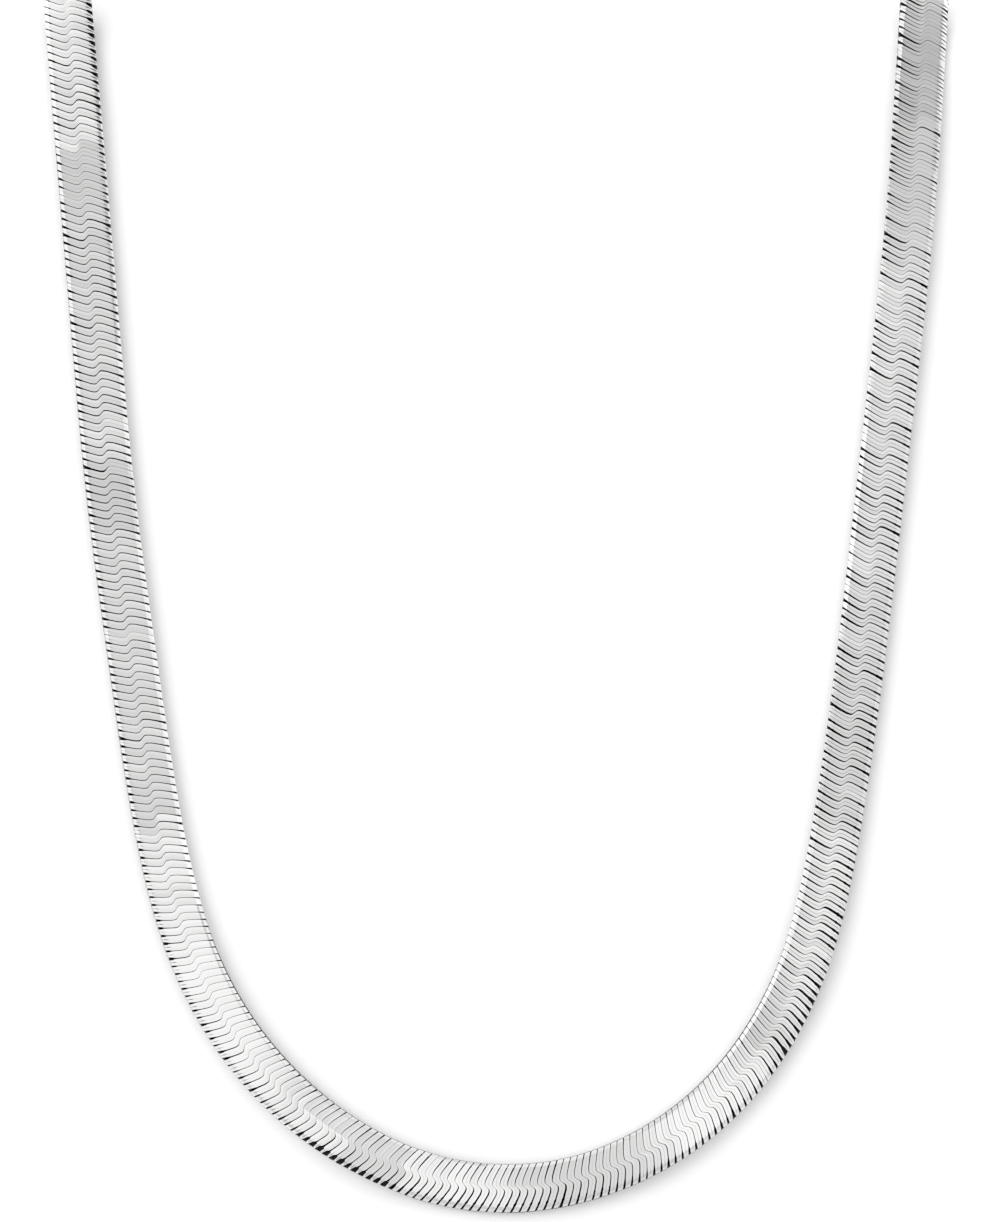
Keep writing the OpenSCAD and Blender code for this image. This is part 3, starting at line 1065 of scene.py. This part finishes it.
@dataclass
class EndCap(Shell):
    """A cap that grips the band's end, with a flat tag and an eye.

    Attributes:
        sizes: the part's sizes.
        edge: the radius of its rounded edges.
        corner: how much more its corners are rounded than it is out from the band.
        ring_step: how far from the pocket's floor the next ring of points is.
        tag_lap: how far the tag reaches into the sleeve.
        tag_spread: how much wider the tag is at the sleeve than round the eye.
    """

    sizes: Sizes = Sizes()
    edge: float = 0.14 * MM
    corner: float = 0.04 * MM
    ring_step: float = 0.3 * MM
    tag_lap: float = 0.02 * MM
    tag_spread: float = 1.12

    def rectangle(self, half_y: float, half_z: float, radius: float) -> Array:
        """Make a rounded rectangle.

        Args:
            half_y: half its height.
            half_z: half its width.
            radius: its corners' radius.

        Returns:
            The closed outline as y and z.
        """
        corners = []
        for k, signs in enumerate([(1, 1), (-1, 1), (-1, -1), (1, -1)]):
            centre = np.array(signs) * [half_y - radius, half_z - radius]
            corners.append(centre + radius * circle(quarter_turn(6) + k * math.pi / 2))
        return np.concatenate(corners)

    def add_sleeve(self) -> None:
        """Add the sleeve: its pocket from the floor out, over the lip and along the outside."""
        s, r = self.sizes, self.edge
        lip = s.cap_wall / 2
        over_lip = np.linspace(0, math.pi, 7)
        mouth = [(-s.cap_grip + lip - lip * math.sin(a), lip - lip * math.cos(a)) for a in over_lip]
        tail = [(s.cap_end - r + r * math.sin(a), s.cap_wall - r + r * math.cos(a)) for a in quarter_turn(5)]
        stations = [(s.cap_fit, 0.0), (s.cap_fit - self.ring_step, 0.0), *mouth, *tail]
        rings = []
        for x, out in stations:
            grown = s.cap_fit + out
            radius = grown + self.corner
            outline = self.rectangle(s.band_t / 2 + grown, s.band_w / 2 + grown, radius)
            rings.append(np.column_stack([np.full(len(outline), x), outline]))
        self.add_loft(np.array(rings), np.array([s.cap_fit, 0, 0]), np.array([s.cap_end, 0, 0]))

    def add_tag(self) -> None:
        """Add the tag: a plate that narrows from the sleeve to the rim round the eye."""
        s, points = self.sizes, 64
        way = circle(full_turn(points))
        base_x, base_z = s.cap_end - s.eye_out - self.tag_lap, s.tag_r * self.tag_spread
        to_base = base_x / np.minimum(way[:, 0], -1e-6)
        slant = base_z / np.maximum(np.abs(way[:, 1]), 1e-6)
        at_sleeve = way[:, 0] < -0.2
        reach = np.where(at_sleeve, np.maximum(s.tag_r, np.minimum(to_base, slant)), s.tag_r)
        half, r = s.tag_t / 2, self.edge
        bend = quarter_turn(4)
        outer = [(-r + r * math.cos(a), half - r + r * math.sin(a)) for a in bend]
        inner = [(r - r * math.sin(a), half - r + r * math.cos(a)) for a in bend]
        profile = [(reach, d, y) for d, y in outer] + [(s.eye_r, d, y) for d, y in inner]
        profile += [(edge, d, -y) for edge, d, y in reversed(profile)]
        rings = []
        for edge, off, y in profile:
            plane = way * (np.full(points, edge) + off)[:, None]
            rings.append(np.stack([s.eye_out + plane[:, 0], np.full(points, y), plane[:, 1]], -1))
        self.add_closed(np.array(rings[::-1]))

    def make(self, name: str, place: Matrix) -> Object:
        """Build the cap.

        Args:
            name: the object's name.
            place: the matrix from its frame, x to the eye and y out of its face, to the row frame.

        Returns:
            The new object.
        """
        self.add_sleeve()
        self.add_tag()
        return self.to_object(name, place, sharp_degrees=35)


def ring_grid(radius: float, wire_r: float, turns: int, points: int) -> Array:
    """Make a ring of round wire round local z.

    Args:
        radius: the radius of its middle line.
        wire_r: the radius of its wire.
        turns: how many points go round the ring.
        points: how many points go round its wire.

    Returns:
        ((R + r cos b) cos a, (R + r cos b) sin a, r sin b) for every a and b.
    """
    a = full_turn(turns)[:, None]
    b = np.linspace(2 * math.pi, 0, points, endpoint=False)[None, :]
    out = radius + wire_r * np.cos(b)
    return np.stack([out * np.cos(a), out * np.sin(a), wire_r * np.sin(b) + 0 * a], axis=-1)


@dataclass
class Clasp(Shell):
    """The clasp: a long closed hook of round bar, a round boss and a small eye.

    Attributes:
        sizes: the part's sizes.
    """

    sizes: Sizes = Sizes()

    def add_hook(self, front_x: float, back_x: float, radius: float) -> None:
        """Add the hook: a round bar along a loop of two half circles and two straights.

        Args:
            front_x: the middle of the front half circle.
            back_x: the middle of the back half circle.
            radius: the half circles' radius.
        """
        half = circle(np.linspace(-math.pi / 2, math.pi / 2, 24))
        out = np.concatenate([half, -half])
        path = out * radius + np.repeat([[front_x, 0.0], [back_x, 0.0]], len(half), axis=0)
        section = circle(full_turn(20)) * self.sizes.hook_bar / 2
        plane = path[:, None] + out[:, None] * section[:, :1]
        y = np.broadcast_to(section[:, 1], plane.shape[:2])
        self.add_closed(np.stack([plane[..., 0], y, plane[..., 1]], -1))

    def add_boss(self, x: float, radius: float) -> None:
        """Add the boss: a round plate with rounded rims, slightly domed, with a pin head.

        Args:
            x: where its middle is.
            radius: its radius.
        """
        half, r, groove_tarnish_and_shade = self.sizes.clasp_t / 2, 0.3 * MM, 0.06 * MM
        bend = quarter_turn(6)
        profile = [(radius - r + r * math.cos(a), half - r + r * math.sin(a)) for a in bend]
        pin = ((0.42, 0.0), (0.38, groove_tarnish_and_shade), (0.32, groove_tarnish_and_shade), (0.28, 0.0), (0.12, 0.0))
        profile += [(radius * share, half - down) for share, down in pin]
        profile = [(d, -y) for d, y in reversed(profile)] + profile
        a = full_turn(48)
        rings = [np.stack([x + d * np.cos(a), np.full(len(a), y), -d * np.sin(a)], -1) for d, y in profile]
        self.add_loft(np.array(rings), np.array([x, -half, 0]), np.array([x, half, 0]))

    def make(self, name: str, place: Matrix) -> Object:
        """Build the clasp.

        Args:
            name: the object's name.
            place: the matrix from its frame, x from eye to hook and y out, to the row frame.

        Returns:
            The new object.
        """
        s = self.sizes
        radius = (s.clasp_w - s.hook_bar) / 2
        eye_mid = (s.ring_wire + s.clasp_eye_wire) / 2 + 2 * s.ring_gap
        eye_x = -(s.clasp_l - s.clasp_eye_wire) / 2 + eye_mid
        boss_x = eye_x + eye_mid + radius
        self.add_hook((s.clasp_l - s.clasp_w) / 2, boss_x, radius)
        self.add_boss(boss_x, radius)
        eye = ring_grid(eye_mid, s.clasp_eye_wire / 2, 48, 16)
        self.add_closed(np.stack([eye[..., 0] + eye_x, eye[..., 2], -eye[..., 1]], -1))
        return self.to_object(name, place, sharp_degrees=40)


class Necklace:
    """The whole chain: the band and the fittings that close it."""

    def __init__(self, sizes: Sizes) -> None:
        """Find where the band ends.

        Args:
            sizes: the part's sizes.
        """
        self.sizes, self.route = sizes, Route(ROUTE, sizes)
        half_l = sizes.clasp_l / 2
        self.eye_bar = sizes.clasp_centre + np.array([-(half_l - sizes.clasp_eye_wire / 2), 0, 0])
        self.hook_bar = sizes.clasp_centre + np.array([half_l - sizes.hook_bar / 2, 0, 0])
        ring_span = sizes.bar_reach(sizes.ring_in, sizes.clasp_eye_wire) + sizes.tag_reach(sizes.ring_in)
        catch_span = sizes.bar_reach(sizes.catch_in, sizes.hook_bar) + sizes.tag_reach(sizes.catch_in)
        self.start = self.route.band_end(self.eye_bar, ring_span, Way.TO_EYE, 0.2, 2.0)
        self.end = self.route.band_end(self.hook_bar, catch_span, Way.TO_HOOK, 28.8, 27.0)

    def dress(self, obj: Object, finish: Material, piece: Piece) -> None:
        """Give a piece its finish and its place in the frame.

        Args:
            obj: the piece.
            finish: its material.
            piece: the CAD node it stands for.
        """
        obj.data.materials.append(finish)
        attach(obj, "root")
        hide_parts(piece.value)
        log.info("%s: %d faces", obj.name, len(obj.data.polygons))

    def make_band(self, silver: Material, core: Material) -> None:
        """Build the woven band.

        Args:
            silver: the links' finish.
            core: the core's material, near black as painted shade.
        """
        band = Band(self.route, self.start, self.end)
        rng = np.random.default_rng(SEED)
        for side, name in ((Side.FRONT, "band_links_front"), (Side.BACK, "band_links_back")):
            self.dress(band.make_links(name, side, rng), silver, Piece.BAND)
        self.dress(band.make_core("band_core"), core, Piece.BAND)
        log.info("band: %.1f mm long, %d links", band.length / MM, band.count)

    def make_caps(self, silver: Material) -> None:
        """Build both end caps.

        Args:
            silver: their finish.
        """
        ends = ((Piece.CAP_LEFT, self.start, Way.TO_EYE), (Piece.CAP_RIGHT, self.end, Way.TO_HOOK))
        for piece, t, way in ends:
            place = place_along(*self.route.cap_frame(t, way))
            cap = EndCap(sizes=self.sizes).make(f"{piece.value}_metal", place)
            self.dress(cap, silver, piece)

    def make_rings(self, silver: Material) -> None:
        """Build the jump ring and the catch ring.

        Args:
            silver: their finish.
        """
        s = self.sizes
        plans = (
            (Piece.JUMP_RING, self.eye_bar, s.clasp_eye_wire, s.ring_in, self.start, Way.TO_EYE),
            (Piece.CATCH_RING, self.hook_bar, s.hook_bar, s.catch_in, self.end, Way.TO_HOOK),
        )
        for piece, bar, bar_wire, inner, t, way in plans:
            direction = unit(self.route.cap_eye(t, way) - bar)
            centre = bar + direction * s.bar_reach(inner, bar_wire)
            place = place_along(centre, direction, s.clasp_out + self.route.cap_frame(t, way)[2])
            shell = Shell()
            shell.add_closed(ring_grid(inner + s.ring_wire / 2, s.ring_wire / 2, 72, 18))
            ring = shell.to_object(f"{piece.value}_wire", place, sharp_degrees=60)
            self.dress(ring, silver, piece)

    def make_clasp(self, silver: Material) -> None:
        """Build the clasp and give it its finish."""
        place = place_along(self.sizes.clasp_centre, np.array([1.0, 0, 0]), self.sizes.clasp_out)
        self.dress(Clasp(sizes=self.sizes).make("clasp_metal", place), silver, Piece.CLASP)


# The room's brightness by the sine of the height above the horizon, in front of the chain and behind
# it, and what its two sides add, by how far a direction points to +X.
FRONT_ROOM = [
    (-1, 0.78), (-0.3, 0.82), (-0.12, 0.8), (-0.03, 0.65), (0.02, 0.62), (0.06, 0.68), (0.14, 0.72),
    (0.2, 0.86), (0.26, 1.03), (0.5, 1.03), (0.6, 0.74), (0.72, 0.75), (0.82, 0.9), (1, 1),
]
REAR_ROOM = [
    (-1, 0.65), (-0.3, 0.56), (-0.05, 0.52), (0.1, 0.85), (0.32, 1), (0.5, 0.5), (0.68, 0.42),
    (0.85, 0.72), (1, 0.5),
]
SIDE_ROOM = [
    (-1, 0), (-0.86, 0.36), (-0.65, 0.36), (-0.42, 0), (0.55, 0), (0.8, 0.3), (0.91, 0.3), (1, 0),
]


# The board behind the chain's front, as heights and depths in millimetres.
BOARD = [
    (-205, -69.5), (-190, -69), (-181, -67.6), (-175, -65.6), (-167, -64.9), (-153, -63.1),
    (-136, -61.75), (-118, -60.75), (-101, -59.8), (-84, -59.35), (-66.5, -58.75), (-49.5, -57.3),
    (-45.5, -55.2), (-42, -53),
]


@dataclass
class Studio:
    """The board, the light and the camera.

    Attributes:
        camera_x: where the camera is across.
        camera_z: its height.
        distance: how far in front of the arms it stands.
        arms_y: the plane of the arms.
        frame_width: how much of that plane the picture's width takes in.
        film: the camera's sensor width in millimetres.
        board_half: half the board's width, in millimetres.
        board_rows: how many rows of points the board has.
        board_rounds: how many times its form is smoothed.
        key_place: where the key light is.
        key_aim: the point that it is turned to.
        key_size: its diameter.
        key_watts: its power.
        card_at: how many degrees to +X and up the middle of a dark card in the room is.
        card_reach: how many degrees it reaches from there.
        card_left: the part of the light that it lets past.
        rooms_meet: how far to the back the front room starts to give way, and where it is gone.
        gap_start: how far to the back a dim gap starts, and where it is full.
        gap_end: how far to the back it starts to end, and where it is gone.
        gap_up: how far up it starts, and where it is full.
        gap_left: the part of the light that it lets past.
        paper_white: the brightness of the surroundings that the camera sees.
        soft_level: the brightness of the surroundings' light on matt things.
        soft_drift: how that brightness changes towards +X and upwards.
    """

    camera_x: float = 0.2247 * MM
    camera_z: float = -112.8 * MM
    distance: float = 900 * MM
    arms_y: float = -60 * MM
    frame_width: float = 112.36 * MM
    film: float = 36.0
    board_half: float = 95.0
    board_rows: int = 81
    board_rounds: int = 3
    key_place: tuple = (-0.6, -0.9, 0.2)
    key_aim: tuple = (0, -0.06, -0.11)
    key_size: float = 0.6
    key_watts: float = 1.3
    card_at: tuple = (16.0, 16.0)
    card_reach: float = 8.0
    card_left: float = 0.53
    rooms_meet: tuple = (-0.2, 0.2)
    gap_start: tuple = (-0.03, 0.1)
    gap_end: tuple = (0.5, 0.7)
    gap_up: tuple = (0.3, 0.45)
    gap_left: float = 0.2
    paper_white: float = 1.06
    soft_level: float = 1.25
    soft_drift: tuple = (-0.45, 0.05)

    def make_camera(self) -> None:
        """Make the camera, level and square to the front."""
        data = bpy.data.cameras.new("camera")
        data.sensor_fit, data.sensor_width = "HORIZONTAL", self.film
        data.lens = self.film * self.distance / self.frame_width
        data.clip_start, data.clip_end = 0.01, 20.0
        camera = add_object("camera", data)
        camera.location = (self.camera_x, self.arms_y - self.distance, self.camera_z)
        camera.rotation_euler = (math.pi / 2, 0, 0)
        bpy.context.scene.camera = camera

    def make_board(self) -> None:
        """Make the board close behind the chain's front, below the shoulders."""
        z, y = np.array(BOARD).T
        heights = np.linspace(z[0], z[-1], self.board_rows)
        depth = np.interp(heights, z, y)
        for _ in range(self.board_rounds):
            depth[1:-1] = (depth[:-2] + 2 * depth[1:-1] + depth[2:]) / 4
        x = np.linspace(-self.board_half, self.board_half, 9)
        grid = np.stack(np.broadcast_arrays(x[None, :], depth[:, None], heights[:, None]), axis=-1) * MM
        shell = Shell()
        shell.add_grid(grid)
        board = shell.to_object("board", Matrix.Identity(4), sharp_degrees=40)
        board.data.materials.append(BoardPaper().build())
        board.visible_glossy = False

    def make_light(self) -> None:
        """Make the key light, high on the left in front."""
        data = bpy.data.lights.new("key", "AREA")
        data.shape, data.size, data.energy = "DISK", self.key_size, self.key_watts
        light = add_object("key", data)
        light.location = self.key_place
        aim = Vector(self.key_aim) - light.location
        light.rotation_euler = aim.to_track_quat("-Z", "Y").to_euler()
        light.visible_camera = False
        light.visible_glossy = False

    def ramp(self, g: Graph, sine: Socket, stops: list) -> Socket:
        """Make a brightness that follows one coordinate of a direction.

        Args:
            g: the world's graph.
            sine: the coordinate, from -1 to 1.
            stops: pairs of the coordinate and the brightness there.

        Returns:
            The brightness.
        """
        ramp = g.node("ShaderNodeValToRGB", {"Fac": g.between(sine, -1.0, 1.0)})
        elements = ramp.color_ramp.elements
        for element, (_, value) in zip(elements, (stops[0], stops[-1])):
            element.color = (1.0, 1.0, 1.0, value)
        for place, value in stops[1:-1]:
            elements.new((place + 1) / 2).color = (1.0, 1.0, 1.0, value)
        return ramp.outputs["Alpha"]

    def card(self, g: Graph, way: Socket) -> Socket:
        """Make the soft dark card that stands in front of the room.

        Args:
            g: the world's graph.
            way: the direction that is looked at.

        Returns:
            A factor for the room's brightness.
        """
        right, up = self.card_at
        centre = facing(np.array(right), np.array(up)).tolist()
        near = g.node("ShaderNodeVectorMath", {0: way, 1: centre}, operation="DOT_PRODUCT")
        edges = [math.cos(math.radians(self.card_reach * part)) for part in (1.5, 0.5)]
        return g.remap(near.outputs["Value"], edges, (1.0, self.card_left))

    def make_world(self) -> None:
        """Make the soft surroundings: white where seen, and a pale room in reflections."""
        world = bpy.data.worlds.new("room")
        world.use_nodes = True
        g = Graph(world.node_tree)
        ray = g.node("ShaderNodeLightPath")
        aim = g.node("ShaderNodeTexCoord").outputs["Generated"]
        x, y, z = g.node("ShaderNodeSeparateXYZ", {"Vector": aim}).outputs
        front, rear = self.ramp(g, z, FRONT_ROOM), self.ramp(g, z, REAR_ROOM)
        sides = self.ramp(g, x, SIDE_ROOM)
        room = g.blend(g.between(y, *self.rooms_meet), front, rear)
        grazing = g.times(g.between(y, *self.gap_start), g.remap(y, self.gap_end, (1.0, 0.0)))
        depth = g.times(grazing, g.between(z, *self.gap_up))
        gap = g.remap(depth, (0.0, 1.0), (1.0, self.gap_left))
        card = self.card(g, aim)
        shown = g.times(g.plus(room, sides), g.times(card, gap))
        drift = g.plus(g.times(x, self.soft_drift[0]), g.times(z, self.soft_drift[1]))
        soft = g.times(g.math("MAXIMUM", g.plus(drift, 1.0), 0.0), self.soft_level)
        level = g.blend(ray.outputs["Is Diffuse Ray"], shown, soft)
        white = g.blend(ray.outputs["Is Camera Ray"], level, self.paper_white)
        back = g.node("ShaderNodeBackground", {"Color": (1, 1, 1, 1), "Strength": white})
        g.node("ShaderNodeOutputWorld", {"Surface": back.outputs[0]})
        bpy.context.scene.world = world

    def make(self) -> None:
        """Make all of it, with plain colours for the picture."""
        self.make_camera()
        self.make_board()
        self.make_light()
        self.make_world()
        view = bpy.context.scene.view_settings
        view.view_transform, view.look = "Standard", "None"


def main() -> None:
    """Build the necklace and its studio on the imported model's frame."""
    logging.basicConfig(level=logging.INFO, format="%(message)s")
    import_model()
    necklace = Necklace(Sizes())
    log.info("band from row %.3f to row %.3f", necklace.start, necklace.end)
    chain, fitting = ChainSilver().build(), FittingSilver().build()
    necklace.make_band(chain, PaintedShadeCore().build())
    necklace.make_caps(fitting)
    necklace.make_rings(fitting)
    necklace.make_clasp(fitting)
    Studio().make()
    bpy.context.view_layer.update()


if __name__ == "__main__":
    main()
